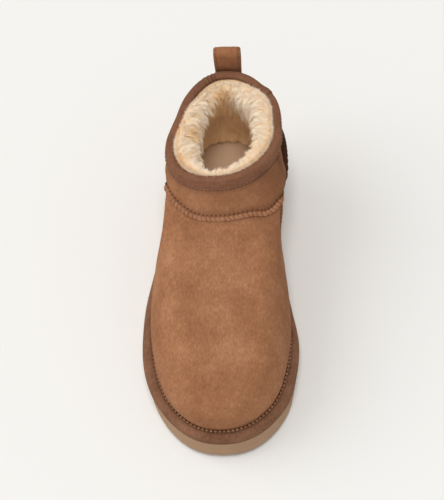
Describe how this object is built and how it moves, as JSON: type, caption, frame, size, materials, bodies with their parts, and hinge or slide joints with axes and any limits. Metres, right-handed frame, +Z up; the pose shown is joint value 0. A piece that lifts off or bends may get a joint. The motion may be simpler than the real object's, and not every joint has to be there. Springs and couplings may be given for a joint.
{
  "type": "sheepskin ankle boot",
  "caption": "Low right-foot suede boot with raised U seam, bound collar, deep fleece pile, heel counter, pull loop and wrapped platform sole",
  "frame": {"origin": "on the floor below the middle of the whole boot's bounding box", "axes": "+Z up, +Y from toe to heel, +X towards the big-toe side of this right boot"},
  "size_m": [0.1186, 0.2718, 0.14],
  "materials": {
    "sole_foam": "matte moulded foam",
    "band_suede": "dark suede",
    "upper_suede": "chestnut suede",
    "insole_cloth": "smooth taupe cloth",
    "fleece": "cream wool pile",
    "binding_suede": "brown suede",
    "seam_suede": "overstitched suede",
    "counter_suede": "chestnut suede",
    "loop_suede": "brown suede tape"
  },
  "bodies": {
    "root": {"outsole": "sole_foam", "sole_band": "band_suede", "upper": "upper_suede", "insole": "insole_cloth", "fleece_lining": "fleece", "collar_binding": "binding_suede", "instep_seam": "seam_suede", "heel_counter": "counter_suede", "pull_loop": "loop_suede"}
  },
  "joints": []
}
